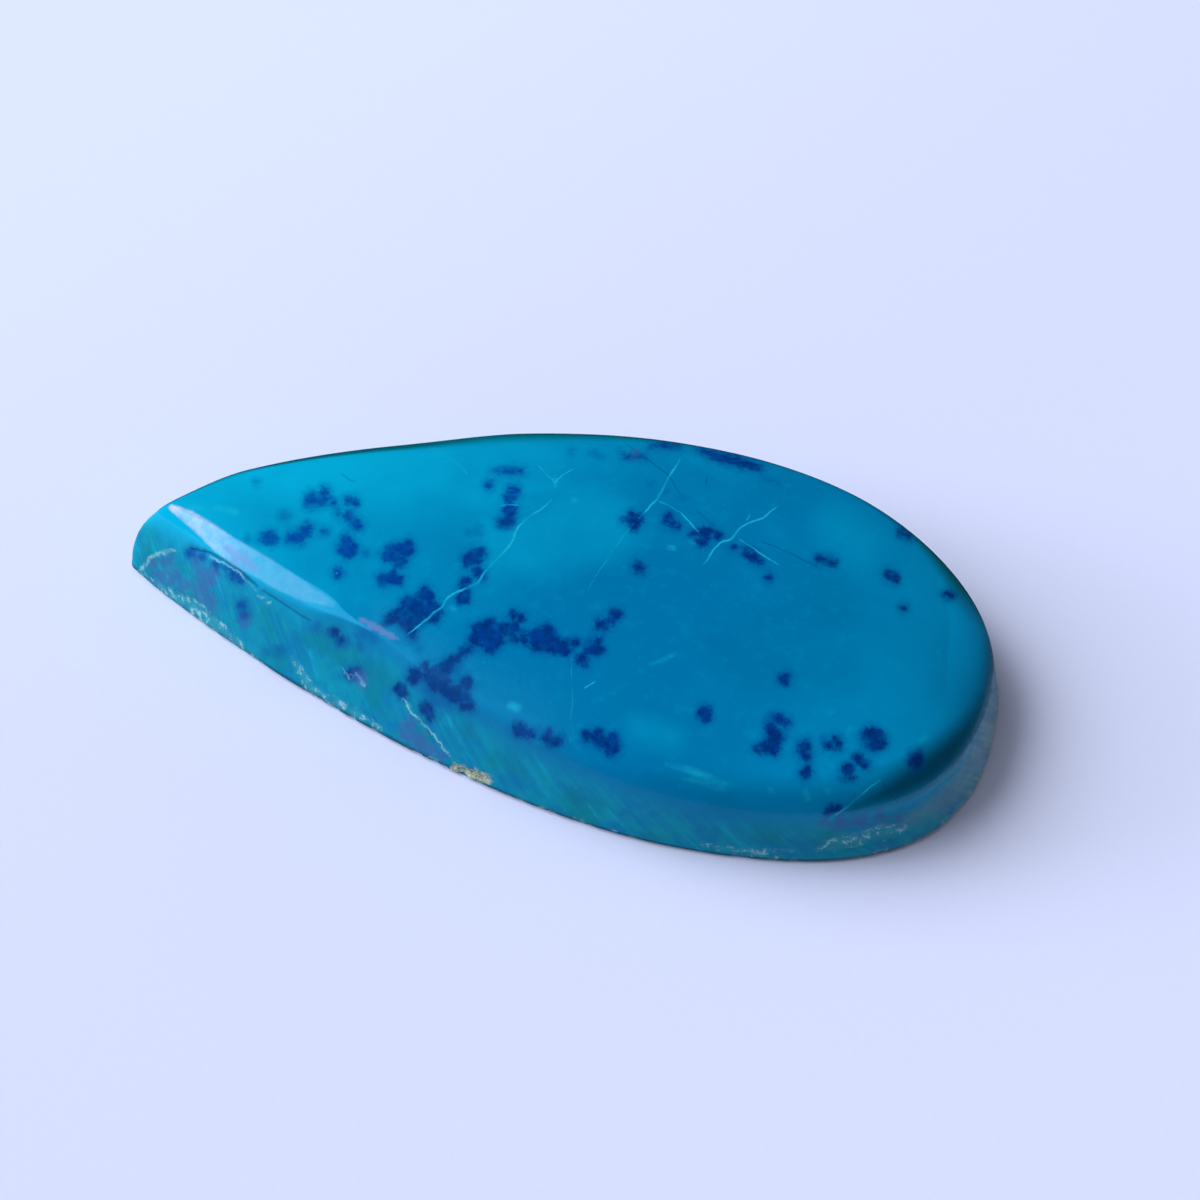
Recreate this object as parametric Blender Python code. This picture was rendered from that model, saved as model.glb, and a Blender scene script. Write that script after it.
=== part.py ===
"""Polished pear cabochon of chrysocolla with azurite, lying on its flat ground back.

Metres, +Z up. The long axis lies along X, with the pointed tip at -X and the round end
at +X. The origin is in the middle of the bounding box, on the flat back. The front side
is -Y and the back side is +Y.
"""
import math

import bmesh
import bpy
from mathutils import Vector
from mathutils.geometry import interpolate_bezier

# Driving dimensions of the whole stone
LENGTH = 0.0400
WIDTH = 0.0206
HEIGHT = 0.0057

# Outline of the flat back: four curves through the tip, both bellies and the round end
TIP_Y = -0.00050
ROUND_END_Y = -0.00025
FRONT_BELLY_X = 0.0077
BACK_BELLY_X = 0.0039
TIP_HANDLE_FRONT = 0.00045
TIP_HANDLE_BACK = 0.0018
FRONT_HANDLE_TO_TIP = 0.01115
FRONT_HANDLE_TO_ROUND = 0.0108
BACK_HANDLE_TO_TIP = 0.0113
BACK_HANDLE_TO_ROUND = 0.0103
ROUND_HANDLE_FRONT = 0.00535
ROUND_HANDLE_BACK = 0.0049

# Cross-section of the rim at stations along each side, as a share of the way from the
# tip to the round end, then wall height, wall inset, crest height and crest inset
TIP_SECTION = (0.00375, 0.00165, 0.00450, 0.00255)
ROUND_SECTION = (0.00260, 0.00055, 0.00405, 0.00260)
FRONT_SECTIONS = (
    (0.00, TIP_SECTION),
    (0.12, (0.00380, 0.00120, 0.00470, 0.00235)),
    (0.24, (0.00390, 0.00140, 0.00460, 0.00225)),
    (0.44, (0.00320, 0.00090, 0.00430, 0.00190)),
    (0.64, (0.00250, 0.00035, 0.00410, 0.00160)),
    (0.84, (0.00230, 0.00060, 0.00400, 0.00170)),
    (1.00, ROUND_SECTION),
)
BACK_SECTIONS = (
    (0.00, TIP_SECTION),
    (0.12, (0.00380, 0.00070, 0.00455, 0.00185)),
    (0.40, (0.00310, 0.00040, 0.00450, 0.00220)),
    (0.75, (0.00270, 0.00060, 0.00425, 0.00140)),
    (1.00, ROUND_SECTION),
)

# Small ground chamfer round the flat back
FOOT_CHAMFER = 0.00015

# The dome rises from the crest to a ridge line along the middle of the stone
RIDGE_START_X = -0.0090
RIDGE_END_X = 0.0090
RIDGE_Y = 0.0003
RIDGE_START_HEIGHT = 0.00545
RIDGE_END_HEIGHT = 0.00545
DOME_POWER = 2.2

# Roundness of the shoulder between wall and crest: 0 is a flat bevel, 1 is full
SHOULDER_BULGE_FLANK = 0.30
SHOULDER_BULGE_ROUND = 0.75
BULGE_CHANGES_FROM = 0.24
BULGE_CHANGES_TO = 0.50
BULGE_INSET_SHARE = 0.12
BULGE_HEIGHT_SHARE = 0.92

# Mesh detail
STATIONS_PER_SIDE = 44
CURVE_SAMPLES = 80
WALL_SHARES = (0.5, 1.0)
SHOULDER_SHARES = (0.25, 0.5, 0.75, 1.0)
DOME_SHARES = (0.10, 0.22, 0.36, 0.52, 0.68, 0.84, 0.96)
SHARP_ANGLE = math.radians(35.0)

STONE_COLOUR = (0.004, 0.170, 0.360, 1.0)
STONE_ROUGHNESS = 0.16


def clear_scene():
    """Remove every object of the open scene."""
    for item in list(bpy.data.objects):
        bpy.data.objects.remove(item, do_unlink=True)


def curve_points(start, start_handle, end_handle, end):
    """Points on one curve of the outline, end point left out."""
    points = interpolate_bezier(start, start_handle, end_handle, end, CURVE_SAMPLES)
    return points[:-1]


def side_outline(side):
    """Outline of one side, from the tip to the round end; side is -1 front or 1 back."""
    front = side < 0
    belly_x = FRONT_BELLY_X if front else BACK_BELLY_X
    tip_handle = TIP_HANDLE_FRONT if front else TIP_HANDLE_BACK
    to_tip = FRONT_HANDLE_TO_TIP if front else BACK_HANDLE_TO_TIP
    to_round = FRONT_HANDLE_TO_ROUND if front else BACK_HANDLE_TO_ROUND
    round_handle = ROUND_HANDLE_FRONT if front else ROUND_HANDLE_BACK
    tip = Vector((-LENGTH / 2, TIP_Y))
    belly = Vector((belly_x, side * WIDTH / 2))
    end = Vector((LENGTH / 2, ROUND_END_Y))
    points = curve_points(tip, tip + Vector((0, side * tip_handle)), belly - Vector((to_tip, 0)), belly)
    points += curve_points(belly, belly + Vector((to_round, 0)), end + Vector((0, side * round_handle)), end)
    points.append(end)
    return points


def station_share(index):
    """Share of the way along a side, closer together near the tip and the round end."""
    even = index / STATIONS_PER_SIDE
    eased = 0.5 * (1.0 - math.cos(math.pi * even))
    return 0.5 * (even + eased)


def at_length(points, share):
    """Point at a share of the length of a line of points."""
    steps = [(b - a).length for a, b in zip(points, points[1:])]
    wanted = share * sum(steps)
    for start, end, step in zip(points, points[1:], steps):
        if wanted <= step:
            return start.lerp(end, wanted / step)
        wanted -= step
    return points[-1].copy()


def smooth_step(share):
    """Ease a share from 0 to 1 with level ends."""
    share = min(max(share, 0.0), 1.0)
    return share * share * (3.0 - 2.0 * share)


def section_slope(sections, station, value):
    """Change of one value of the cross-section at a station, level at both ends."""
    if station in (0, len(sections) - 1):
        return 0.0
    before, after = sections[station - 1], sections[station + 1]
    return (after[1][value] - before[1][value]) / (after[0] - before[0])


def section_at(sections, share):
    """Cross-section at a share of the side, on a smooth curve through the stations."""
    station = 0
    while station < len(sections) - 2 and share > sections[station + 1][0]:
        station += 1
    start, low = sections[station]
    end, high = sections[station + 1]
    span = end - start
    t = (share - start) / span
    blend = smooth_step(t)
    section = []
    for value in range(len(low)):
        leaving = section_slope(sections, station, value) * span * t * (1.0 - t) ** 2
        arriving = section_slope(sections, station + 1, value) * span * t * t * (t - 1.0)
        section.append(low[value] + (high[value] - low[value]) * blend + leaving + arriving)
    return section


def shoulder_bulge(share):
    """Roundness of the shoulder, low along the tip's flanks and high round the belly."""
    blend = smooth_step((share - BULGE_CHANGES_FROM) / (BULGE_CHANGES_TO - BULGE_CHANGES_FROM))
    return SHOULDER_BULGE_FLANK + (SHOULDER_BULGE_ROUND - SHOULDER_BULGE_FLANK) * blend


def ridge_point(x):
    """Top of the dome above the ridge line, for an outline point at x."""
    share = (x + LENGTH / 2) / LENGTH
    ridge_x = RIDGE_START_X + (RIDGE_END_X - RIDGE_START_X) * share
    end_height = RIDGE_START_HEIGHT if share < 0.5 else RIDGE_END_HEIGHT
    from_middle = abs(share - 0.5) / 0.5
    height = HEIGHT + (end_height - HEIGHT) * from_middle ** 2
    return Vector((ridge_x, RIDGE_Y, height))


def wall_profile(wall_height, wall_inset):
    """Inset and height of the ground edge and the wall above it."""
    profile = [(FOOT_CHAMFER, 0.0), (0.0, FOOT_CHAMFER)]
    for share in WALL_SHARES:
        height = FOOT_CHAMFER + (wall_height - FOOT_CHAMFER) * share
        profile.append((wall_inset * share, height))
    return profile


def shoulder_profile(wall_height, wall_inset, crest_height, crest_inset, bulge):
    """Inset and height of the rounded shoulder from the wall's top to the crest."""
    middle = Vector(((wall_inset + crest_inset) / 2, (wall_height + crest_height) / 2))
    corner_inset = wall_inset + (crest_inset - wall_inset) * BULGE_INSET_SHARE
    corner_height = wall_height + (crest_height - wall_height) * BULGE_HEIGHT_SHARE
    control = middle.lerp(Vector((corner_inset, corner_height)), bulge)
    start = Vector((wall_inset, wall_height))
    end = Vector((crest_inset, crest_height))
    profile = []
    for share in SHOULDER_SHARES:
        point = start.lerp(control, share).lerp(control.lerp(end, share), share)
        profile.append((point.x, point.y))
    return profile


def dome_profile(crest_height, crest_inset, reach, top):
    """Inset and height of the dome from the crest towards the ridge line."""
    profile = []
    for share in DOME_SHARES:
        inset = crest_inset + (reach - crest_inset) * share
        rise = 1.0 - (1.0 - share) ** DOME_POWER
        profile.append((inset, crest_height + (top - crest_height) * rise))
    return profile


def station_column(point, share, sections):
    """Points of the stone's skin above one outline point, from the back up to the dome."""
    wall_height, wall_inset, crest_height, crest_inset = section_at(sections, share)
    ridge = ridge_point(point.x)
    inward = Vector((ridge.x - point.x, ridge.y - point.y))
    reach = inward.length
    inward.normalize()
    profile = wall_profile(wall_height, wall_inset)
    profile += shoulder_profile(wall_height, wall_inset, crest_height, crest_inset, shoulder_bulge(share))
    profile += dome_profile(crest_height, crest_inset, reach, ridge.z)
    return [Vector((point.x + inward.x * d, point.y + inward.y * d, z)) for d, z in profile]


def stone_columns():
    """Columns of skin points in order: tip, back side, round end, front side."""
    columns = []
    back = side_outline(1)
    for index in range(STATIONS_PER_SIDE + 1):
        share = station_share(index)
        columns.append(station_column(at_length(back, share), share, BACK_SECTIONS))
    front = side_outline(-1)
    for index in range(STATIONS_PER_SIDE - 1, 0, -1):
        share = station_share(index)
        columns.append(station_column(at_length(front, share), share, FRONT_SECTIONS))
    return columns


def add_side_faces(mesh, rings):
    """Quads between each ring of points and the next one up."""
    count = len(rings[0])
    for low, high in zip(rings, rings[1:]):
        for index in range(count):
            following = (index + 1) % count
            mesh.faces.new((low[following], low[index], high[index], high[following]))


def add_top_faces(mesh, ring):
    """Close the narrow opening along the ridge by pairing the front with the back side."""
    count = len(ring)
    half = count // 2
    mesh.faces.new((ring[1], ring[0], ring[count - 1]))
    for index in range(1, half - 1):
        back, back_next = ring[index], ring[index + 1]
        front, front_next = ring[count - index], ring[count - index - 1]
        mesh.faces.new((back_next, back, front, front_next))
    mesh.faces.new((ring[half], ring[half - 1], ring[half + 1]))


def stone_material():
    """Polished blue-green chrysocolla."""
    material = bpy.data.materials.new("chrysocolla")
    material.use_nodes = True
    shader = material.node_tree.nodes["Principled BSDF"]
    shader.inputs["Base Color"].default_value = STONE_COLOUR
    shader.inputs["Roughness"].default_value = STONE_ROUGHNESS
    shader.inputs["Metallic"].default_value = 0.0
    return material


def make_stone():
    """The whole stone, one closed solid."""
    columns = stone_columns()
    mesh = bmesh.new()
    rings = []
    for level in range(len(columns[0])):
        rings.append([mesh.verts.new(column[level]) for column in columns])
    add_side_faces(mesh, rings)
    add_top_faces(mesh, rings[-1])
    mesh.faces.new(rings[0])
    bmesh.ops.recalc_face_normals(mesh, faces=mesh.faces)
    data = bpy.data.meshes.new("stone")
    mesh.to_mesh(data)
    mesh.free()
    data.shade_smooth()
    data.set_sharp_from_angle(angle=SHARP_ANGLE)
    data.materials.append(stone_material())
    stone = bpy.data.objects.new("stone", data)
    bpy.context.scene.collection.objects.link(stone)
    return stone


clear_scene()
make_stone()
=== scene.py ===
"""Looks of the polished pear cabochon: its fine skin and stone, and the floor, light and camera.

Metres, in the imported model's frame: the tip is at -X, the round end at +X, the back side
at +Y, and the flat back lies on z = 0. Pixel places are in the photo's 1200 pixel frame.
"""

import math

import bpy
import numpy as np
from mathutils import Matrix, Vector, noise


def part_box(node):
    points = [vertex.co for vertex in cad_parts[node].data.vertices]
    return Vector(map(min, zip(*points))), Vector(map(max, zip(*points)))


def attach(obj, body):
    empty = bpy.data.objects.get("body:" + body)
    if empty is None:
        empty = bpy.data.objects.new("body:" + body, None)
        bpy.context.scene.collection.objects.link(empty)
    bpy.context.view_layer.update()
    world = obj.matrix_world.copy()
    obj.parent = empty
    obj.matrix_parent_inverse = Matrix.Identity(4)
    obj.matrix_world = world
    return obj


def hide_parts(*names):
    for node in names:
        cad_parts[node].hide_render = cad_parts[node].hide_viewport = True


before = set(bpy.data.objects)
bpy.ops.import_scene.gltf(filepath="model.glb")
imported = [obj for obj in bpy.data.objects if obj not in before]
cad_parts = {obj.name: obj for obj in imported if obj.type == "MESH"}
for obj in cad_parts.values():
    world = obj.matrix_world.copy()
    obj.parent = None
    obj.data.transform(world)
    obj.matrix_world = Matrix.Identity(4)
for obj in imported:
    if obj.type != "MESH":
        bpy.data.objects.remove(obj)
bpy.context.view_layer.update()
stone_low, stone_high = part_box("stone")

MM = 0.001
LENGTH = stone_high.x - stone_low.x
WIDTH = stone_high.y - stone_low.y
HEIGHT = stone_high.z

# Camera: the photo's view of the stone
CAMERA_AZIMUTH = math.radians(13.13)
CAMERA_ELEVATION = math.radians(48.0)
CAMERA_FIELD = math.radians(32.0)
CAMERA_DISTANCE = 93.93 * MM
CAMERA_ASIDE = 2.193 * MM
CAMERA_ABOVE = 1.480 * MM
PHOTO_SIZE = 1200
PIXELS_PER_MM = 22.3

# Outline of the flat back: four curves through the tip, both bellies and the round end
TIP_Y = -0.50 * MM
TIP_SETBACK = 0.20 * MM
ROUND_END_Y = -0.25 * MM
BELLY_X = {-1: 7.7 * MM, 1: 3.9 * MM}
TIP_HANDLE = {-1: 0.45 * MM, 1: 1.8 * MM}
HANDLE_TO_TIP = {-1: 11.15 * MM, 1: 11.3 * MM}
HANDLE_TO_ROUND = {-1: 10.8 * MM, 1: 10.3 * MM}
ROUND_HANDLE = {-1: 5.35 * MM, 1: 4.9 * MM}

# Rim sections in millimetres: share along the side, wall height and inset, crest height and inset
TIP_SECTION = (3.80, 1.68, 4.58, 2.62)
ROUND_SECTION = (2.60, 0.55, 4.05, 2.60)
SECTIONS = {
    -1: (
        (0.00, TIP_SECTION),
        (0.05, (3.92, 1.66, 4.78, 2.74)),
        (0.12, (3.86, 1.24, 4.78, 2.52)),
        (0.21, (3.88, 1.38, 4.66, 2.32)),
        (0.26, (4.16, 1.62, 4.55, 2.12)),
        (0.31, (4.20, 1.62, 4.46, 1.96)),
        (0.36, (3.74, 1.22, 4.40, 1.92)),
        (0.44, (3.20, 0.90, 4.30, 1.90)),
        (0.64, (2.50, 0.35, 4.10, 1.60)),
        (0.84, (2.30, 0.60, 4.00, 1.70)),
        (1.00, ROUND_SECTION),
    ),
    1: (
        (0.00, TIP_SECTION),
        (0.12, (3.80, 0.70, 4.55, 1.85)),
        (0.40, (3.10, 0.40, 4.50, 2.20)),
        (0.75, (2.70, 0.60, 4.25, 1.40)),
        (1.00, ROUND_SECTION),
    ),
}
FOOT_CHAMFER = 0.15 * MM
RIDGE_X = 9.0 * MM
RIDGE_Y = 0.3 * MM
RIDGE_END_DROP = 0.25 * MM
DOME_POWER = 2.2
BEVEL_BEND_SHARE = 0.22
BEVEL_BEND = 0.12 * MM
BULGE_ROUND = 0.75
BULGE_FROM = 0.27
BULGE_TO = 0.40
BULGE_INSET_SHARE = 0.12
BULGE_HEIGHT_SHARE = 0.92
TIP_SWELL = 0.55
TIP_SWELL_TO = 0.07

# Fineness of the skin
COLUMNS_PER_SIDE = 360
BACK_RINGS = 14
WALL_RINGS = 24
SHOULDER_RINGS = 10
DOME_RINGS = 56
EDGE_ROUNDING = 0.045 * MM
EDGE_RINGS = (-0.10 * MM, -0.05 * MM, 0.0, 0.05 * MM, 0.10 * MM)
DOME_END_SHARE = 0.985

# Azurite on the side that the photo shows: clusters of round lobes, x, y, radius in pixels
AZURITE_CLUSTERS = (
    (325, 491, 4), (312, 498, 6), (319, 501, 6), (309, 504, 4), (326, 499, 4), (333, 501, 3),
    (348, 501, 4), (355, 502, 4), (338, 511, 3), (348, 517, 5), (355, 524, 5), (360, 526, 3),
    (309, 527, 4), (305, 532, 6), (299, 539, 6), (290, 538, 5), (270, 538, 7), (264, 538, 4),
    (324, 531, 3), (346, 541, 6), (346, 550, 8), (353, 549, 6), (338, 573, 5), (387, 555, 6),
    (395, 552, 9), (407, 550, 7), (400, 561, 7), (408, 542, 4), (383, 580, 6), (392, 577, 7),
    (399, 580, 5), (489, 485, 4), (514, 491, 6), (510, 498, 6), (510, 511, 7), (507, 521, 7),
    (501, 523, 4), (474, 558, 8), (468, 561, 6), (480, 553, 6), (477, 572, 6), (481, 575, 4),
    (466, 581, 5), (463, 588, 4), (463, 597, 7), (425, 590, 5), (423, 595, 6), (429, 597, 5),
    (407, 603, 6), (416, 607, 9), (433, 607, 6), (427, 613, 8), (400, 615, 8), (392, 619, 6),
    (386, 622, 4), (407, 624, 8), (416, 619, 8), (412, 633, 5), (435, 618, 5), (438, 613, 4),
    (514, 615, 5), (521, 618, 4), (490, 624, 6), (479, 630, 8), (475, 639, 7), (486, 636, 11),
    (490, 645, 8), (498, 641, 6), (505, 629, 7), (515, 628, 5), (515, 639, 4), (524, 638, 6),
    (535, 637, 8), (546, 630, 6), (550, 634, 5), (544, 641, 10), (553, 646, 8), (535, 646, 5),
    (562, 646, 7), (566, 652, 5), (575, 643, 5), (598, 641, 4), (595, 650, 6), (587, 649, 3),
    (601, 649, 4), (581, 659, 6), (586, 664, 3), (600, 624, 5), (606, 627, 4), (610, 621, 4),
    (616, 614, 6), (638, 566, 5), (641, 570, 4), (463, 650, 4), (458, 657, 4), (450, 662, 6),
    (443, 670, 8), (447, 688, 9), (425, 667, 5), (416, 674, 7), (413, 679, 6), (432, 675, 8),
    (438, 682, 10), (456, 692, 8), (466, 685, 7), (468, 680, 4), (464, 697, 6), (455, 699, 5),
    (463, 704, 5), (469, 706, 6), (400, 689, 6), (403, 694, 5), (426, 708, 7), (430, 717, 5),
    (520, 730, 8), (530, 734, 5), (549, 733, 5), (553, 743, 6), (547, 739, 5), (559, 739, 5),
    (587, 736, 6), (598, 736, 7), (602, 742, 7), (613, 739, 6), (613, 748, 7), (610, 753, 4),
    (705, 714, 8), (785, 679, 6), (623, 520, 2), (632, 517, 6), (635, 525, 6), (640, 517, 4),
    (669, 517, 5), (673, 523, 5), (679, 526, 2), (666, 522, 3), (693, 534, 4), (704, 532, 5),
    (710, 532, 4), (718, 536, 4), (701, 541, 5), (707, 539, 4), (734, 548, 3), (747, 553, 5),
    (753, 557, 6), (760, 561, 4), (769, 578, 4), (819, 559, 4), (829, 561, 4), (834, 563, 3),
    (888, 574, 4), (892, 577, 5), (896, 580, 3), (903, 608, 3), (946, 594, 3), (951, 595, 4),
    (901, 533, 4), (908, 536, 3), (778, 718, 5), (785, 722, 5), (771, 729, 6), (775, 736, 7),
    (772, 744, 7), (764, 748, 6), (756, 748, 3), (775, 751, 5), (805, 745, 6), (806, 755, 6),
    (801, 753, 4), (806, 773, 7), (836, 741, 5), (838, 746, 4), (828, 746, 4), (874, 736, 9),
    (879, 741, 8), (867, 733, 5), (874, 747, 5), (859, 759, 6), (865, 765, 5), (848, 770, 7),
    (852, 777, 4), (916, 757, 7), (916, 764, 6), (827, 812, 3), (832, 810, 4), (838, 808, 3),
    (334, 633, 5), (341, 640, 4), (351, 674, 6), (357, 671, 4), (191, 553, 5), (202, 557, 4),
    (217, 565, 4), (228, 568, 3), (235, 575, 6), (241, 580, 4), (242, 606, 4), (244, 616, 4),
)

# Drawn-out azurite: paths whose round end has the given radius at each place
AZURITE_STREAKS = (
    ((493, 471, 1), (503, 471, 2), (513, 471, 3), (521, 471, 2)),
    ((697, 450, 1), (707, 453, 3), (720, 457, 5), (735, 461, 5), (749, 465, 4), (761, 468, 2)),
    ((651, 446, 1), (661, 445, 2), (672, 446, 2), (680, 447, 1)),
    ((624, 457, 1), (634, 456, 2), (645, 457, 1)), ((470, 648, 2), (460, 658, 3), (448, 668, 5)),
)

# Fainter azurite that lies deeper in the stone
AZURITE_HAZE = (
    (284, 516, 6), (256, 482, 3), (248, 539, 4), (366, 553, 4), (479, 530, 5), (470, 531, 3),
    (571, 451, 3), (591, 452, 2), (596, 454, 3), (601, 456, 2), (764, 479, 2), (772, 481, 3),
    (780, 484, 2), (343, 641, 7), (316, 627, 6), (362, 634, 7), (373, 636, 7), (360, 645, 5),
    (280, 651, 7), (266, 652, 5), (536, 731, 5), (592, 641, 8), (590, 652, 6), (446, 705, 9),
    (437, 698, 9), (427, 690, 7), (412, 640, 6), (420, 648, 4), (770, 722, 8), (840, 777, 4),
    (823, 741, 4), (620, 451, 2), (650, 484, 2), (666, 491, 2), (682, 497, 2), (452, 668, 8),
    (470, 650, 5), (870, 742, 12), (774, 737, 12), (545, 640, 14), (440, 684, 16), (414, 612, 16),
    (487, 637, 15),
)

# Pale veins: half width in millimetres, then x, y points in pixels
MAIN_VEINS = (
    (0.047, ((553, 498), (546, 505), (540, 510), (531, 515), (524, 521), (518, 527), (515, 534), (511, 544),
             (505, 551), (497, 559), (489, 567), (484, 573), (478, 583), (464, 589), (451, 595), (446, 599),
             (443, 606), (434, 613), (427, 619), (419, 626), (406, 635))),
    (0.039, ((681, 458), (675, 468), (669, 476), (665, 484), (662, 491), (656, 500), (650, 506), (644, 513),
             (636, 521))),
    (0.037, ((779, 505), (770, 512), (765, 517), (757, 520), (748, 523), (740, 528), (734, 536), (730, 540),
             (721, 542), (714, 549), (708, 559), (699, 569))),
)
BRANCH_VEINS = (
    (0.030, ((538, 465), (546, 474), (553, 480), (555, 485), (554, 490))),
    (0.025, ((575, 468), (566, 473), (559, 478), (555, 485))),
    (0.033, ((656, 500), (665, 504), (673, 508), (681, 513), (687, 519), (693, 526), (699, 533))),
    (0.027, ((751, 513), (748, 518), (745, 522))),
    (0.027, ((737, 538), (745, 543), (754, 549), (766, 557), (780, 566))),
    (0.028, ((583, 689), (597, 681))),
    (0.043, ((882, 779), (870, 787), (859, 797), (848, 806), (836, 815), (817, 829))),
    (0.023, ((339, 571), (335, 575))),
    (0.008, ((636, 521), (629, 529), (623, 537), (616, 546), (607, 560), (597, 574), (588, 590))),
    (0.006, ((572, 655), (571, 676), (573, 700), (570, 722))), (0.006, ((846, 528), (850, 534))),
    (0.023, ((500, 505), (520, 505))), (0.023, ((442, 462), (452, 460), (459, 464), (468, 475))),
)
# Dark hairlines in the stone, and last a painted shade line
DARK_HAIRLINES_AND_RIM_SHADE = (
    (0.023, ((626, 444), (646, 458), (667, 474), (673, 482), (681, 496))),
    (0.019, ((695, 509), (706, 519), (716, 527))),
    (0.020, ((760, 541), (784, 550), (805, 561), (824, 569))),
    (0.020, ((882, 781), (890, 794), (899, 804))), (0.017, ((341, 473), (350, 480), (357, 482))),
    (0.016, ((707, 476), (706, 488))),
    # Painted shade: a dark line along the round end's rim, where the edge turns away from the light
    (0.055, ((991, 640), (993, 660), (992, 682), (988, 703), (981, 721), (973, 736), (962, 753),
             (948, 773))),
)
VEIN_REACH = 0.45 * MM
LOBE_BLEND = 1.2

# Breaks across the wall: pale seams and dark cracks
WALL_SEAMS = (
    (0.080, ((138, 572), (145, 565), (152, 556), (162, 552), (177, 550))),
    (0.022, ((208, 556), (224, 563), (238, 571), (250, 584), (258, 593))),
    (0.075, ((256, 594), (261, 597), (264, 600))), (0.060, ((264, 602), (269, 604), (273, 604))),
    (0.042, ((401, 697), (412, 712), (425, 726), (437, 739), (450, 758))),
    (0.018, ((343, 667), (350, 681))), (0.050, ((355, 671), (366, 688))),
)
WALL_CRACKS = (
    (0.060, ((189, 548), (209, 552), (225, 560), (237, 568), (245, 575), (260, 588))),
    (0.035, ((262, 590), (278, 600), (296, 612), (312, 622))),
)

# Purple grey azurite in the wall: x, y, radius in pixels
PURPLE_PATCHES = (
    (153, 563, 6), (165, 562, 9), (160, 575, 9), (172, 577, 9), (184, 585, 8), (207, 579, 12),
    (200, 590, 9), (207, 601, 9), (212, 608, 6), (196, 562, 5), (245, 622, 5), (361, 681, 6),
    (357, 675, 5), (407, 733, 9), (418, 741, 10), (430, 750, 8), (410, 725, 8), (440, 756, 5),
    (825, 824, 6), (840, 823, 8), (860, 821, 8), (880, 819, 7), (898, 817, 5), (635, 454, 3),
)
CRUST_PATCH = (
    (455, 768, 5), (463, 772, 6), (472, 775, 6), (481, 778, 6), (489, 780, 4),
)

# Bands: paths whose width follows the radius given at each place, x, y, radius in pixels
PALE_CHIPS = (
    ((138, 571, 3), (150, 584, 7), (168, 597, 10), (190, 611, 13), (212, 628, 12), (236, 645, 7)),
    ((247, 655, 4), (262, 664, 3)), ((292, 658, 3), (301, 674, 5), (312, 690, 6)),
    ((318, 693, 4), (336, 703, 6), (356, 714, 5), (380, 729, 3)), ((262, 597, 2), (264, 599, 2)),
    ((267, 602, 2), (270, 605, 1)),
    ((703, 843, 3), (716, 848, 4), (742, 851, 3), (768, 852, 4), (790, 851, 3)),
    ((818, 849, 4), (842, 843, 8), (868, 837, 8), (890, 832, 8), (902, 829, 6)),
)
# Scuffs and pale flecks, and painted glints with the faint painted highlight streak along the front crest
SCUFFS_AND_GLINTS = (
    ((666, 764, 0), (676, 767, 1.5), (690, 771, 2.5), (704, 776, 2), (720, 781, 1), (736, 786, 0)),
    ((684, 778, 0), (704, 784, 1), (728, 790, 0)), ((770, 790, 1), (773, 791, 1)),
    ((805, 793, 1), (808, 799, 1.5)), ((676, 654, 0), (662, 660, 0.5), (650, 664, 0)),
    ((826, 790, 1.5), (829, 791, 1)), ((574, 500, 1), (575, 500, 1)),
    ((670, 547, 1.5), (674, 548, 1)), ((689, 541, 1), (694, 543, 1.5)),
    ((361, 656, 1.5), (362, 657, 1.5)), ((288, 633, 1), (289, 634, 1)),
    ((452, 608, 1.5), (455, 610, 1)), ((828, 714, 1), (832, 711, 1)),
    ((848, 733, 1), (851, 728, 1)), ((216, 508, 1), (228, 511, 1.5), (238, 512, 1)),
    ((190, 506, 1), (202, 508, 1.5)), ((512, 706, 3), (517, 707, 3)),
    ((921, 741, 1), (926, 738, 2)),
)
# Painted shade on the round end's shoulder, which turns away from the light
SHOULDER_SHADE = (
    ((852, 808, 4), (876, 798, 9), (900, 787, 14), (924, 773, 16), (945, 756, 15), (964, 735, 11),
     (978, 712, 7), (987, 690, 4), (991, 668, 3), (992, 640, 3)),
)
# Painted shade on the front shoulder
FRONT_SHADE = (
    ((648, 778, 3), (680, 787, 10), (720, 797, 14), (770, 803, 15), (820, 802, 14), (850, 798, 10)),
)
# Painted reflection of the pale floor on the round end's wall
END_WALL_PAINTED_REFLECTION = (
    ((905, 822, 5), (935, 806, 9), (958, 787, 11), (976, 760, 11), (988, 730, 10), (996, 700, 8),
     (998, 675, 5)),
)
# Paler patches of the dome: partly the stone's clouding, partly painted reflection along the back edge
# towards the tip
PALE_CLOUDS_AND_PAINTED_SHEEN = (
    ((300, 464, 10), (360, 454, 18), (430, 456, 12)),
    ((500, 540, 14), (570, 535, 28), (606, 528, 22)), ((640, 728, 1), (672, 736, 1)),
    ((835, 525, 8), (860, 545, 8)),
)
DEEP_CLOUDS = (
    ((180, 496, 6), (230, 500, 14), (290, 522, 8)),
    ((790, 560, 14), (820, 610, 22), (740, 650, 24), (840, 670, 12)),
    ((955, 640, 6), (950, 690, 10)),
)
# Frost on the bevel with a painted highlight of the window over it
BEVEL_FROST_AND_HIGHLIGHT = (
    ((172, 508, 3), (180, 512, 5), (190, 518, 7), (205, 529, 9), (222, 543, 11), (240, 555, 12),
     (262, 567, 12), (284, 581, 11), (306, 593, 8), (332, 604, 3)),
)
# Painted pink tint of the bevel's highlight, within it and at its end
BEVEL_HIGHLIGHT_BLUSH = (
    ((360, 619, 1), (370, 624, 3), (382, 631, 3), (392, 636, 3), (397, 639, 1)),
    ((226, 548, 4), (246, 562, 6), (256, 568, 3)),
)
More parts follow.
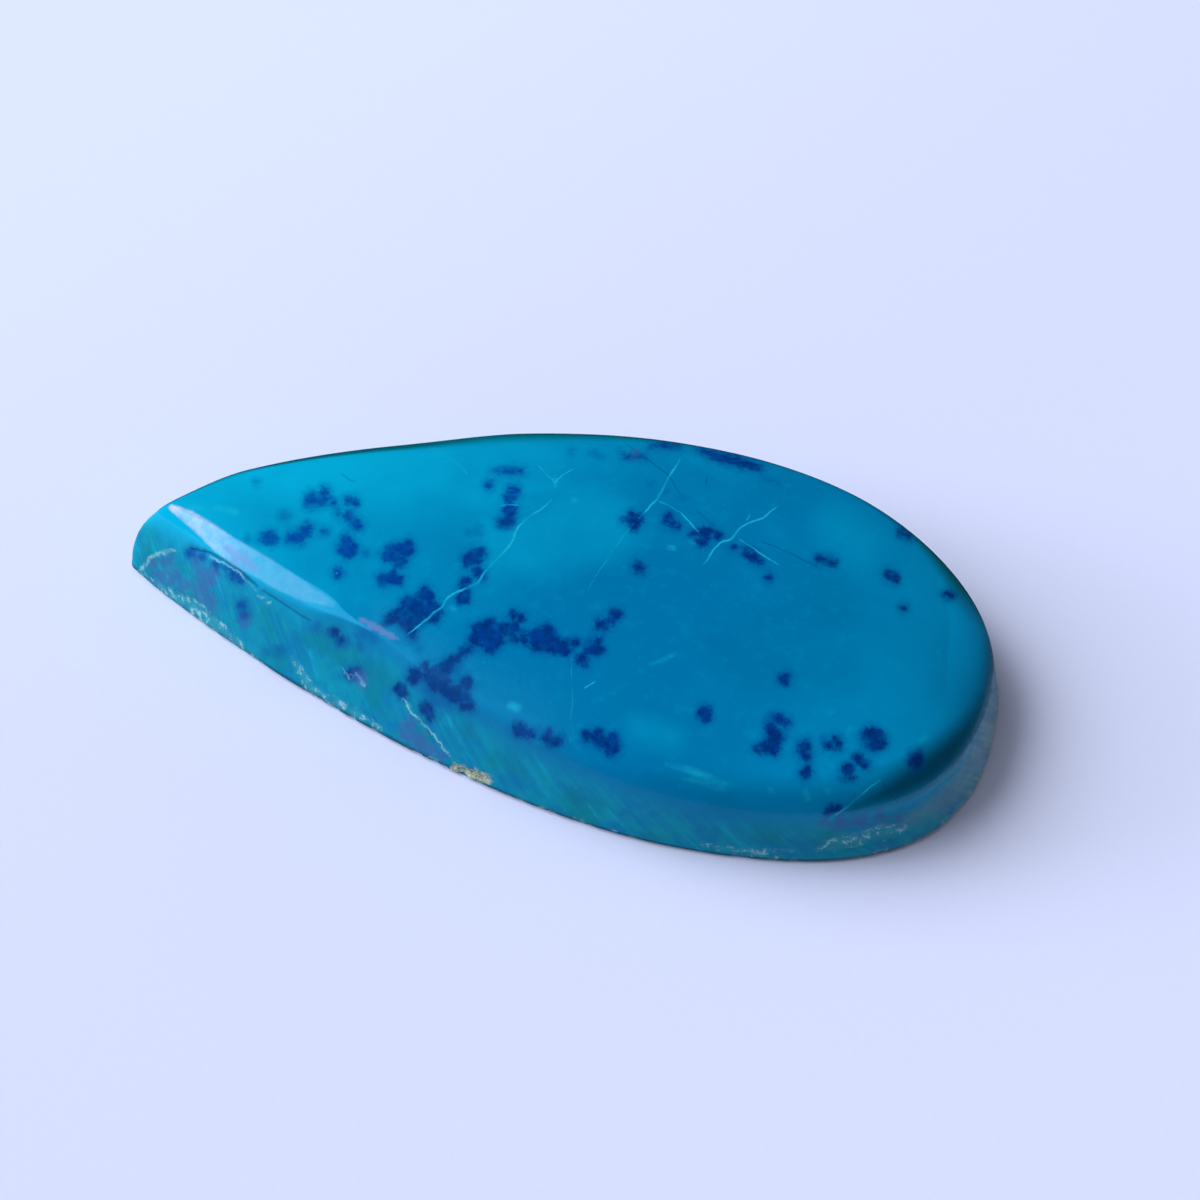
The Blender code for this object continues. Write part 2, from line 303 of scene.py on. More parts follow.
# Where the bevel's frost and painted highlight fade along its length, and where the front shoulder is satin
FROST_HIGHLIGHT_FROM_X = -17.8 * MM
FROST_HIGHLIGHT_TO_X = -12.0 * MM
SATIN_FROM_X = -6.4 * MM
SATIN_TO_X = 5.0 * MM

# Depths of the skin's relief
POLISH_WAVES = 0.020 * MM
CHIP_DEPTH = 0.080 * MM
WALL_ROUGHNESS = 0.012 * MM
CRACK_DEPTH = 0.050 * MM
CRUST_DEPTH = 0.120 * MM

# Slant of the wall's grain, and how much it is stretched along that slant
GRAIN_SLANT = -0.9
GRAIN_STRETCH = 0.12

# Azurite spots a millimetre where the photo shows nothing
UNSEEN_SPOTS_PER_MM = 0.75

# Zones of the skin over which a finish or a tone fades in
GROUND_ZONES = (2.12, 1.60)
SATIN_ZONES = (2.34, 2.06)
SHOULDER_SATIN_ZONES = (3.30, 2.95)
ABOVE_WALL_ZONES = (1.97, 2.04)
BELOW_SHOULDER_ZONES = (2.0, 1.9)

# Roughness of the finishes
POLISH_ROUGHNESS = (0.045, 0.085)
SATIN_ROUGHNESS = (0.38, 0.56)
BACK_ROUGHNESS = 0.6
CHIP_ROUGHNESS = 0.7

# Painted light along the length: where the dome is painted paler towards the tip and the back as the
# window's reflection, and how far that change leans sideways; then where the round end is painted paler
# against its shading
TIP_PAINTED_LIGHT_X = (5.0 * MM, -22.0 * MM)
TIP_PAINTED_LIGHT_LEAN = -0.9
FAR_PAINTED_LIGHT_X = (6.0 * MM, 19.0 * MM)

# Edges of the azurite, of the lines and of what roughens them, as distances from the drawn edge
SPOT_LUMPS = 0.42 * MM
SPOT_GRIT = 0.20 * MM
CORE_EDGES = (0.15 * MM, -0.13 * MM)
HALO_EDGES = (0.42 * MM, -0.02 * MM)
HAZE_EDGES = (0.26 * MM, -0.24 * MM)
UNSEEN_SPOT_EDGES = (0.48 * MM, 0.26 * MM)
FINE_LINE_EDGE = 0.022 * MM
HAIRLINE_EDGE = 0.04 * MM
BREAK_EDGE = 0.05 * MM
LINE_WOBBLE = 0.12 * MM
SEAM_WOBBLE = 0.40 * MM

# Shares of the bevel's frost and painted highlight away from the tip and at it
FROST_HIGHLIGHT_SHARES = (0.14, 0.92)

# Colours in linear light
CHRYSOCOLLA = (0.000, 0.185, 0.375, 1.0)
# CHRYSOCOLLA_PALE is also the tone of the painted light towards the tip and the back
CHRYSOCOLLA_PALE = (0.001, 0.440, 0.640, 1.0)
# Painted light: the round end's dome made paler against its shading
CHRYSOCOLLA_PAINTED_LIT = (0.000, 0.290, 0.530, 1.0)
CHRYSOCOLLA_DARK = (0.000, 0.060, 0.150, 1.0)
RIM_GREEN = (0.000, 0.110, 0.110, 1.0)
# Painted shade on the shoulders
SHOULDER_PAINTED_SHADE = (0.000, 0.055, 0.095, 1.0)
WALL_TEAL = (0.000, 0.300, 0.370, 1.0)
WALL_BLUE = (0.000, 0.175, 0.370, 1.0)
WALL_CYAN = (0.004, 0.520, 0.700, 1.0)
WALL_GREEN = (0.000, 0.200, 0.200, 1.0)
# Painted contact shadow along the foot
FOOT_PAINTED_SHADOW = (0.000, 0.020, 0.030, 1.0)
# Painted reflection of the pale floor on the end wall
WALL_PAINTED_REFLECTION = (0.115, 0.260, 0.370, 1.0)
AZURITE = (0.0005, 0.032, 0.175, 1.0)
AZURITE_BRIGHT = (0.0005, 0.058, 0.300, 1.0)
AZURITE_HALO = (0.000, 0.090, 0.300, 1.0)
VEIN_TEAL = (0.010, 0.440, 0.590, 1.0)
CRACK_NAVY = (0.000, 0.020, 0.100, 1.0)
SEAM_PALE = (0.260, 0.600, 0.580, 1.0)
CHIP_TEAL = (0.040, 0.330, 0.400, 1.0)
CHIP_CREAM = (0.360, 0.620, 0.640, 1.0)
CRUST_TAN = (0.280, 0.260, 0.130, 1.0)
CRUST_PALE = (0.500, 0.560, 0.400, 1.0)
PURPLE_GREY = (0.050, 0.110, 0.340, 1.0)
# Painted highlight over the bevel's frost, and its pink tint
FROST_HIGHLIGHT_LAVENDER = (0.560, 0.600, 0.820, 1.0)
HIGHLIGHT_BLUSH_PINK = (0.200, 0.240, 0.500, 1.0)
STONE_SHINE = (0.10, 0.75, 1.0, 1.0)
LIGHT_COLOUR = (0.80, 0.86, 1.0, 1.0)
PAPER = (0.765, 0.777, 0.930, 1.0)
# Painted light: paper brighter towards the far left
PAPER_PAINTED_LIGHT = (0.835, 0.860, 0.960, 1.0)
PAPER_FIBRE = (0.560, 0.570, 0.700, 1.0)

# Regions of colour: how far noise moves the edge, its outer and inner place, share and tone
REGIONS = {
    # Of these, the paler patches are partly painted reflection, the scuffs partly painted glints, the two
    # shoulder shades painted shade, the end wall's a painted reflection, and the bevel's frost and its tint
    # a painted highlight
    "pale": (2.0, 1.3, -0.5, 0.30, CHRYSOCOLLA_PALE),
    "deep": (2.0, 1.3, -0.5, 0.17, CHRYSOCOLLA_DARK),
    "scuff_and_glint": (0.5, 0.42, 0.10, 0.60, VEIN_TEAL),
    "front_painted_shade": (0.0, 0.45, -0.45, 0.14, SHOULDER_PAINTED_SHADE),
    "shade": (0.0, 0.50, -0.60, 0.86, SHOULDER_PAINTED_SHADE),
    "end_wall_reflection": (0.0, 0.30, -0.35, 0.60, WALL_PAINTED_REFLECTION),
    "purple": (1.3, 0.20, -0.25, 0.62, PURPLE_GREY),
    "frost_and_highlight": (0.10, 0.07, -0.07, 1.0, FROST_HIGHLIGHT_LAVENDER),
    "highlight_blush": (0.5, 0.08, -0.12, 0.55, HIGHLIGHT_BLUSH_PINK),
    "crust": (0.6, 0.06, -0.10, 1.0, CRUST_TAN),
}

# Floor
# Painted light: where the paper is painted brighter towards the far left
PAPER_PAINTED_LIGHT_X = (10.0 * MM, -65.0 * MM)
FLOOR_REACH = 3.0
FLOOR_GAP = 0.02 * MM

# Suns: name, degrees round the stone, degrees above the floor, strength, spread, glint alone
LIGHTS = (
    ("window", 168.0, 36.0, 2.75, 54.0, False),
    ("window_behind", 142.0, 44.0, 0.98, 40.0, False),
    ("window_low", 175.0, 11.0, 1.15, 22.0, False),
    ("window_glint", 191.0, 33.0, 1.15, 34.0, True),
)

# Room light: the directions over which its level changes, and the levels at both ends
ROOM_LEVELS = (0.8, -0.9, 0.20, 0.47)
SHEET_TOWARDS_X = (0.10, 0.70, 0.03, 1.1)
SHEET_BELOW_Z = (-0.49, -0.68, 0.04, 1.05)

SEED = 12


def unit(vector):
    """Vector of length one."""
    return vector / np.linalg.norm(vector, axis=-1, keepdims=True)


def camera_axes():
    """The camera's directions: right, up and back."""
    back = np.array((
        math.sin(CAMERA_AZIMUTH) * math.cos(CAMERA_ELEVATION),
        -math.cos(CAMERA_AZIMUTH) * math.cos(CAMERA_ELEVATION),
        math.sin(CAMERA_ELEVATION),
    ))
    right = np.array((math.cos(CAMERA_AZIMUTH), math.sin(CAMERA_AZIMUTH), 0.0))
    return right, np.cross(back, right), back


def camera_place():
    """Where the camera stands."""
    right, up, back = camera_axes()
    return back * CAMERA_DISTANCE + right * CAMERA_ASIDE + up * CAMERA_ABOVE


def photo_pixels(points):
    """Where points of the stone lie in the photo, in pixels from its top left corner."""
    right, up, back = camera_axes()
    offset = points - camera_place()
    focal = PHOTO_SIZE / 2 / math.tan(CAMERA_FIELD / 2)
    depth = -(offset @ back)
    x = PHOTO_SIZE / 2 + offset @ right / depth * focal
    y = PHOTO_SIZE / 2 - offset @ up / depth * focal
    return np.stack((x, y), axis=-1)


def smooth_step(share):
    """Ease a share from 0 to 1 with level ends."""
    share = np.clip(share, 0.0, 1.0)
    return share * share * (3.0 - 2.0 * share)


def bezier(start, start_handle, end_handle, end, count):
    """Points on one curve of the outline."""
    t = np.linspace(0.0, 1.0, count)[:, None]
    s = 1.0 - t
    corners = [np.array(p) for p in (start, start_handle, end_handle, end)]
    return (s ** 3 * corners[0] + 3 * s * s * t * corners[1]
            + 3 * s * t * t * corners[2] + t ** 3 * corners[3])


def quadratic(start, control, end):
    """Points on a plain curve that one control point bends."""
    share = np.linspace(0.0, 1.0, 30)[:, None]
    return (1 - share) ** 2 * start + 2 * share * (1 - share) * control + share ** 2 * end


def side_outline(side):
    """Outline of one side from the tip to the round end; side is -1 front or 1 back."""
    tip = (TIP_SETBACK - LENGTH / 2, TIP_Y)
    belly = (BELLY_X[side], side * WIDTH / 2)
    end = (LENGTH / 2, ROUND_END_Y)
    to_belly = bezier(tip, (tip[0], tip[1] + side * TIP_HANDLE[side]),
                      (belly[0] - HANDLE_TO_TIP[side], belly[1]), belly, 500)
    to_end = bezier(belly, (belly[0] + HANDLE_TO_ROUND[side], belly[1]),
                    (end[0], end[1] + side * ROUND_HANDLE[side]), end, 500)
    return np.concatenate((to_belly, to_end[1:]))


def column_shares():
    """Shares of the way along a side, closer together near the tip and the round end."""
    even = np.linspace(0.0, 1.0, COLUMNS_PER_SIDE + 1)
    eased = 0.5 * (1.0 - np.cos(math.pi * even))
    return 0.6 * even + 0.4 * eased


def at_shares(points, shares):
    """Points at shares of the length of a line of points."""
    steps = np.linalg.norm(np.diff(points, axis=0), axis=1)
    along = np.concatenate(((0.0,), np.cumsum(steps)))
    wanted = shares * along[-1]
    return np.stack([np.interp(wanted, along, points[:, axis]) for axis in range(2)], axis=-1)


def section_slopes(places, values):
    """Change of each value of the cross-section at its stations, level at both ends."""
    slopes = np.zeros_like(values)
    slopes[1:-1] = (values[2:] - values[:-2]) / (places[2:] - places[:-2])[:, None]
    return slopes


def sections_at(side, shares):
    """Cross-sections at shares of the side, on a smooth curve through the stations."""
    places = np.array([place for place, section in SECTIONS[side]])
    values = np.array([section for place, section in SECTIONS[side]]) * MM
    slopes = section_slopes(places, values)
    station = np.clip(np.searchsorted(places, shares, side="left") - 1, 0, len(places) - 2)
    span = (places[station + 1] - places[station])[:, None]
    t = (shares[:, None] - places[station][:, None]) / span
    blend = smooth_step(t)
    leaving = slopes[station] * span * t * (1.0 - t) ** 2
    arriving = slopes[station + 1] * span * t * t * (t - 1.0)
    return values[station] * (1.0 - blend) + values[station + 1] * blend + leaving + arriving


def ridge_points(x):
    """Top of the dome on the ridge line, for outline points at x."""
    share = (x + LENGTH / 2) / LENGTH
    height = HEIGHT - RIDGE_END_DROP * (np.abs(share - 0.5) / 0.5) ** 2
    return np.stack((RIDGE_X * (2.0 * share - 1.0), np.full_like(x, RIDGE_Y), height), axis=-1)


def column_profile(section, swell, bulge, reach, top):
    """Inset and height of one column of the skin, and the lengths at its edges."""
    wall_height, wall_inset, crest_height, crest_inset = section
    foot = [(1.0 * MM, 0.0), (FOOT_CHAMFER, 0.0)]
    wall_foot = np.array((0.0, FOOT_CHAMFER))
    wall_end = np.array((wall_inset, wall_height))
    bent = (wall_foot + wall_end) / 2 * (1 - swell) + np.array((0.0, 0.8 * wall_height)) * swell
    wall = quadratic(wall_foot, bent, wall_end)
    corner = np.array((wall_inset + (crest_inset - wall_inset) * BULGE_INSET_SHARE,
                       wall_height + (crest_height - wall_height) * BULGE_HEIGHT_SHARE))
    across = np.array((crest_inset, crest_height)) - wall_end
    outward = np.array((-across[1], across[0])) / np.linalg.norm(across)
    bend = wall_end + across * BEVEL_BEND_SHARE + outward * BEVEL_BEND
    control = bend * (1 - bulge) + corner * bulge
    shoulder = quadratic(wall_end, control, wall_end + across)
    rise = np.linspace(0.0, 1.0, 200)
    dome = np.stack((crest_inset + (reach - crest_inset) * rise,
                     crest_height + (top - crest_height) * (1 - (1 - rise) ** DOME_POWER)), axis=-1)
    points = np.concatenate((foot, wall, shoulder[1:], dome[1:]))
    lengths = np.concatenate(((0.0,), np.cumsum(np.linalg.norm(np.diff(points, axis=0), axis=1))))
    wall_start = len(foot)
    wall_top = wall_start + len(wall) - 1
    crest = wall_top + len(shoulder) - 1
    return points, lengths, (lengths[1], lengths[wall_start], lengths[wall_top], lengths[crest])


def spread(start, end, count, ease=1.0):
    """Lengths strictly between two edges, closer to the first where ease is above one."""
    shares = (np.arange(count) + 1.0) / (count + 1.0)
    return start + (end - start) * shares ** ease


def ring_lengths(edges, total):
    """Where the rings of one column lie along its profile."""
    back_edge, foot, wall_top, crest = edges
    margin = EDGE_RINGS[-1]
    low = back_edge - 2 * margin
    around_foot = [low, low + margin, back_edge, (back_edge + foot) / 2, foot, foot + margin]
    wall = spread(foot + margin, wall_top - margin, WALL_RINGS)
    shoulder = spread(wall_top + margin, crest - margin, SHOULDER_RINGS)
    dome = spread(crest + margin, crest + (total - crest) * DOME_END_SHARE, DOME_RINGS, 1.15)
    edge = np.array(EDGE_RINGS)
    return np.concatenate((around_foot, wall, wall_top + edge, shoulder, crest + edge, dome))


def rounded(points, lengths, wanted):
    """Profile points at the wanted lengths, with every edge rounded a little."""
    offsets = np.linspace(-2.0, 2.0, 9)
    weights = np.exp(-0.5 * offsets ** 2)
    weights /= weights.sum()
    result = np.zeros((len(wanted), 2))
    for offset, weight in zip(offsets, weights):
        places = wanted + offset * EDGE_ROUNDING
        for axis in range(2):
            result[:, axis] += weight * np.interp(places, lengths, points[:, axis])
    return result


def stone_grid():
    """Skin points by column and ring, with each point's zone and the columns' places.

    The zone is 0 on the flat back, 1 at the foot, 2 at the wall's top, 3 at the crest and
    4 on the ridge. Columns run from the tip along the back side and return by the front.
    """
    shares = column_shares()
    columns = []
    zones = []
    for side, order in ((1, range(len(shares))), (-1, range(len(shares) - 2, 0, -1))):
        outline = at_shares(side_outline(side), shares)
        sections = sections_at(side, shares)
        bulges = BULGE_ROUND * smooth_step((shares - BULGE_FROM) / (BULGE_TO - BULGE_FROM))
        swells = TIP_SWELL * smooth_step(1.0 - shares / TIP_SWELL_TO)
        ridges = ridge_points(outline[:, 0])
        inward = ridges[:, :2] - outline
        reaches = np.linalg.norm(inward, axis=1)
        inward /= reaches[:, None]
        for index in order:
            points, lengths, edges = column_profile(
                sections[index], swells[index], bulges[index], reaches[index], ridges[index, 2])
            wanted = ring_lengths(edges, lengths[-1])
            profile = rounded(points, lengths, wanted)
            back = 1.0 - np.arange(1, BACK_RINGS + 1)[::-1] / (BACK_RINGS + 1.0)
            back_inset = profile[0, 0] + (reaches[index] * DOME_END_SHARE - profile[0, 0]) * (1 - back)
            back_profile = np.stack((back_inset, np.zeros(BACK_RINGS)), axis=-1)
            profile = np.concatenate((back_profile, profile))
            flat = outline[index] + inward[index] * profile[:, :1]
            columns.append(np.concatenate((flat, profile[:, 1:]), axis=1))
            zone = np.interp(wanted, (*edges, lengths[-1]), (0.0, 1.0, 2.0, 3.0, 4.0))
            zones.append(np.concatenate((np.zeros(BACK_RINGS), zone)))
    return np.array(columns), np.array(zones)


def grid_normals(grid):
    """Outward directions of the skin's points."""
    around = np.roll(grid, -1, axis=0) - np.roll(grid, 1, axis=0)
    along = np.gradient(grid, axis=1)
    return -unit(np.cross(around, along) + 1e-18)


def lobe_distance(pixels, lobes):
    """Distance in metres from the edge of some round lobes that melt together, below zero inside."""
    nearness = np.zeros(len(pixels))
    for x, y, radius in lobes:
        gap = np.hypot(pixels[:, 0] - x, pixels[:, 1] - y) - radius
        nearness += np.exp(np.clip(-gap / LOBE_BLEND, -60.0, 60.0))
    return -LOBE_BLEND * np.log(nearness + 1e-26) / PIXELS_PER_MM * MM


def band_distance(pixels, bands):
    """Distance in metres from the edge of some bands of changing width, below zero inside."""
    nearest = np.full(len(pixels), 1e3)
    for band in bands:
        places = np.array(band, float)
        for start, end in zip(places, places[1:]):
            step = end[:2] - start[:2]
            share = np.clip((pixels - start[:2]) @ step / (step @ step), 0.0, 1.0)
            middle = start[:2] + share[:, None] * step
            radius = start[2] + share * (end[2] - start[2])
            nearest = np.minimum(nearest, np.linalg.norm(pixels - middle, axis=1) - radius)
    return nearest / PIXELS_PER_MM * MM


def line_distance(pixels, lines):
    """Signed distance in metres from the nearest of some lines, and its half width there.

    Away from every line, and past its ends, the half width is below zero.
    """
    best = np.full(len(pixels), 1e3)
    distance = np.full(len(pixels), 1e3)
    width = np.full(len(pixels), -1.0)
    for half_width, path in lines:
        path = np.array(path, float)
        steps = np.linalg.norm(np.diff(path, axis=0), axis=1)
        along = np.concatenate(((0.0,), np.cumsum(steps)))
        for index, (start, end) in enumerate(zip(path, path[1:])):
            step = (end - start) / steps[index]
            offset = pixels - start
            share = offset @ step
            inside = np.clip(share, 0.0, steps[index])
            gap = np.linalg.norm(offset - inside[:, None] * step, axis=1)
            side = np.sign(offset[:, 0] * step[1] - offset[:, 1] * step[0])
            closer = gap < best
            place = (along[index] + inside) / along[-1]
            taper = np.minimum(1.0, 5.0 * np.minimum(place, 1.0 - place) + 0.3)
            past_end = ((index == 0) & (share < 0.0)) | ((index == len(steps) - 1) & (share > steps[index]))
            here = np.where(past_end, -1.0, half_width * taper)
            best = np.where(closer, gap, best)
            distance = np.where(closer, gap * side, distance)
            width = np.where(closer, here, width)
    distance = distance / PIXELS_PER_MM * MM
    width = np.where(np.abs(distance) > VEIN_REACH, -1.0, width) * MM
    return distance, width


def wander(points, scale, seed, octaves=3):
    """Soft random values from about -1 to 1 at points in space."""
    shift = Vector((seed * 13.1, seed * 7.7, seed * 3.3))
    return np.array([noise.fractal(Vector(p) * scale + shift, 0.8, 2.1, octaves) for p in points])


def chipping(points, zone, pixels, hidden):
    """How chipped the skin is, 0 to 1: the pale patches in view, and a ragged foot elsewhere."""
    ragged = wander(points, 1.0 / (0.45 * MM), SEED + 1, 4)
    band_top = 1.10 + 0.20 * wander(points, 1.0 / (2.8 * MM), SEED + 2, 2)
    foot = smooth_step((band_top - zone) / 0.15) * smooth_step((zone - 0.2) / 0.5)
    seen = smooth_step((0.10 * MM - band_distance(pixels, PALE_CHIPS)) / (0.30 * MM)) * (1.0 - hidden)
    band = np.maximum(foot * smooth_step((ragged - 0.05) / 0.25), seen * (0.6 + 0.4 * ragged))
    return np.clip(band, 0.0, 1.0)


def dress_grid(grid, zones):
    """Cut the hand polish's waves, the chips, the crack and the crust's notch into the skin."""
    count = grid.shape[0] * grid.shape[1]
    normals = grid_normals(grid).reshape(count, 3)
    points = grid.reshape(count, 3)
    zone = zones.reshape(count)
    pixels = photo_pixels(points)
    hidden = hidden_share(points, normals)
    chips = chipping(points, zone, pixels, hidden)
    wall = smooth_step((zone - 0.9) / 0.2) * smooth_step((2.15 - zone) / 0.2)
    waves = 0.5 + 0.5 * wander(points, 1.0 / (6.0 * MM), SEED, 2)
    rough = wander(points, 1.0 / (0.35 * MM), SEED + 3, 3)
    crack, crack_width = line_distance(pixels, WALL_CRACKS)
    crust = smooth_step(-lobe_distance(pixels, CRUST_PATCH) / (0.15 * MM)) * (1.0 - hidden)
    depth = POLISH_WAVES * waves * smooth_step((zone - 1.8) / 0.4)
    depth += CHIP_DEPTH * chips * (0.7 + 0.6 * rough)
    depth += WALL_ROUGHNESS * wall * np.clip(rough + 0.3, 0.0, 1.0)
    depth += CRACK_DEPTH * wall * (1.0 - hidden) * np.exp(-(crack / (0.11 * MM)) ** 2) * (crack_width > 0.0)
    depth += CRUST_DEPTH * crust * (0.6 + 1.2 * rough)
    moved = points - normals * np.maximum(depth, 0.0)[:, None]
    moved[:, 2] = np.clip(moved[:, 2], 0.0, HEIGHT)
    moved[zone <= 0.001, 2] = 0.0
    return moved.reshape(grid.shape), chips, hidden


def grid_faces(columns, rings):
    """Quads of the skin, the ridge's narrow opening and that of the flat back."""
    faces = []
    for column in range(columns):
        following = (column + 1) % columns
        for ring in range(rings - 1):
            low, high = column * rings + ring, column * rings + ring + 1
            low_next, high_next = following * rings + ring, following * rings + ring + 1
            faces.append((low_next, low, high, high_next))
    half = columns // 2
    for ring, flip in ((rings - 1, False), (0, True)):
        at = [column * rings + ring for column in range(columns)]
        seam = [(at[1], at[0], at[columns - 1])]
        for column in range(1, half - 1):
            seam.append((at[column + 1], at[column], at[columns - column], at[columns - column - 1]))
        seam.append((at[half], at[half - 1], at[half + 1]))
        faces += [face[::-1] for face in seam] if flip else seam
    return faces


def store(mesh, name, values):
    """Keep one number or vector a point on the mesh, for the material to read."""
    kind, field = ("FLOAT", "value") if values.ndim == 1 else ("FLOAT_VECTOR", "vector")
    layer = mesh.attributes.new(name, kind, "POINT")
    layer.data.foreach_set(field, values.astype(np.float32).ravel())


def hidden_share(points, normals):
    """0 where the photo shows the skin, 1 where it faces away."""
    facing = np.sum(normals * unit(camera_place() - points), axis=1)
    return smooth_step((-0.10 - facing) / 0.30)


def make_skin():
    """The cabochon's visible skin with what its material reads."""
    grid, zones = stone_grid()
    columns, rings = zones.shape
    grid, chips, hidden = dress_grid(grid, zones)
    points = grid.reshape(-1, 3)
    mesh = bpy.data.meshes.new("cabochon_skin")
    mesh.from_pydata(points.tolist(), [], grid_faces(columns, rings))
    mesh.update()
    mesh.shade_smooth()

    pixels = photo_pixels(points)
    away = hidden * 2.0 * MM
    store(mesh, "hidden", hidden)
    store(mesh, "zone", zones.reshape(-1))
    store(mesh, "chips", chips)
    spots = np.minimum(lobe_distance(pixels, AZURITE_CLUSTERS), band_distance(pixels, AZURITE_STREAKS))
    store(mesh, "azurite", spots + away)
    for name, lobes in (("haze", AZURITE_HAZE), ("purple", PURPLE_PATCHES), ("crust", CRUST_PATCH)):
        store(mesh, name, lobe_distance(pixels, lobes) + away)
    for name, bands in (("scuff_and_glint", SCUFFS_AND_GLINTS), ("shade", SHOULDER_SHADE), ("front_painted_shade", FRONT_SHADE),
                        ("end_wall_reflection", END_WALL_PAINTED_REFLECTION), ("frost_and_highlight", BEVEL_FROST_AND_HIGHLIGHT), ("highlight_blush", BEVEL_HIGHLIGHT_BLUSH),
                        ("pale", PALE_CLOUDS_AND_PAINTED_SHEEN), ("deep", DEEP_CLOUDS)):
        store(mesh, name, band_distance(pixels, bands) + away)
    for name, lines in (("vein", MAIN_VEINS), ("branch", BRANCH_VEINS), ("hairline_and_rim_shade", DARK_HAIRLINES_AND_RIM_SHADE),
                        ("seam", WALL_SEAMS), ("crack", WALL_CRACKS)):
        distance, width = line_distance(pixels, lines)
        width = np.where(hidden > 0.01, -1.0 * MM, width)
        store(mesh, name, np.stack((distance, width, np.zeros_like(width)), axis=-1))
    store(mesh, "grain", grain_places(columns, rings, points))

    skin = bpy.data.objects.new("cabochon_skin", mesh)
    bpy.context.scene.collection.objects.link(skin)
    mesh.materials.append(stone_material())
    return skin


def grain_places(columns, rings, points):
    """Places for the wall's slanting grain: round a ring as long as the rim, sheared with height."""
    foot = points.reshape(columns, rings, 3)[:, BACK_RINGS + 4, :2]
    steps = np.linalg.norm(np.roll(foot, -1, axis=0) - foot, axis=1)
    along = np.concatenate(((0.0,), np.cumsum(steps)[:-1]))
    radius = steps.sum() / (2.0 * math.pi)
    height = points[:, 2]
    angle = np.repeat(along / radius, rings) + GRAIN_SLANT * height / radius
    return np.stack((radius * np.cos(angle), radius * np.sin(angle), GRAIN_STRETCH * height), axis=-1)


class Nodes:
    """Short calls that build one node tree."""

    def __init__(self, tree):
        self.tree = tree

    def add(self, kind, inputs=(), **settings):
        """New node with settings and inputs; an input is a number, a colour or an output."""
        node = self.tree.nodes.new("ShaderNode" + kind)
        for name, value in settings.items():
            setattr(node, name, value)
        for socket, value in dict(inputs).items():
            self.feed(node.inputs[socket], value)
        return node

    def feed(self, socket, value):
        """Link an output to a socket, or set the socket's value."""
        if isinstance(value, bpy.types.NodeSocket):
            self.tree.links.new(value, socket)
        elif value is not None:
            socket.default_value = value

    def math(self, operation, first, second=None, third=None, clamp=False):
        """One sum, product or the like."""
        node = self.add("Math", operation=operation, use_clamp=clamp)
        for socket, value in zip(node.inputs, (first, second, third)):
            self.feed(socket, value)
        return node.outputs[0]

    def ease(self, value, start, end, low=0.0, high=1.0):
        """Smooth change from low to high as the value goes from start to end."""
        node = self.add("MapRange", interpolation_type="SMOOTHSTEP", inputs={
            "Value": value, "From Min": start, "From Max": end, "To Min": low, "To Max": high})
        return node.outputs["Result"]

    def times(self, first, second):
        """Product of two values."""
        return self.math("MULTIPLY", first, second)

    def flat_place(self, place):
        """X and Y of a place."""
        parts = self.add("SeparateXYZ", inputs={0: place})
        return parts.outputs[0], parts.outputs[1]

    def mix(self, share, first, second):
        """Blend of two colours."""
        node = self.add("Mix", data_type="RGBA")
        self.feed(node.inputs["Factor"], share)
        self.feed(node.inputs[6], first)
        self.feed(node.inputs[7], second)
        return node.outputs[2]

    def blend(self, share, first, second):
        """Blend of two numbers."""
        node = self.add("Mix", data_type="FLOAT")
        for socket, value in zip(node.inputs, (share, None, first, second)):
            self.feed(socket, value)
        return node.outputs[0]

    def noise(self, place, per_mm, detail=3.0, roughness=0.55, distortion=0.0):
        """Soft random value around one half."""
        node = self.add("TexNoise", inputs={
            "Vector": place, "Scale": per_mm / MM, "Detail": detail,
            "Roughness": roughness, "Distortion": distortion})
        return node.outputs["Fac"]

    def number(self, name):
        """A number kept on the mesh."""
        return self.add("Attribute", attribute_name=name).outputs["Fac"]

    def vector(self, name):
        """A vector kept on the mesh."""
        return self.add("Attribute", attribute_name=name).outputs["Vector"]


def line_mask(nodes, name, wobble, edge=FINE_LINE_EDGE):
    """How strongly one set of lines shows, 0 to 1."""
    parts = nodes.add("SeparateXYZ", inputs={0: nodes.vector(name)})
    distance = nodes.math("ABSOLUTE", nodes.math("ADD", parts.outputs[0], wobble))
    beyond = nodes.math("SUBTRACT", distance, parts.outputs[1])
    return nodes.ease(beyond, edge, -edge)


def cover(nodes, colour, name, shift=0.0, limit=None, tone=None):
    """Colour with one kind of region laid over it; noise in the shift makes its edge ragged."""
    depth, outer, inner, share, own_tone = REGIONS[name]
    gap = nodes.math("MULTIPLY_ADD", shift, depth * MM, nodes.number(name))
    region = nodes.ease(gap, outer * MM, inner * MM, 0.0, share)
    if limit is not None:
        region = nodes.times(region, limit)
    return nodes.mix(region, colour, own_tone if tone is None else tone)


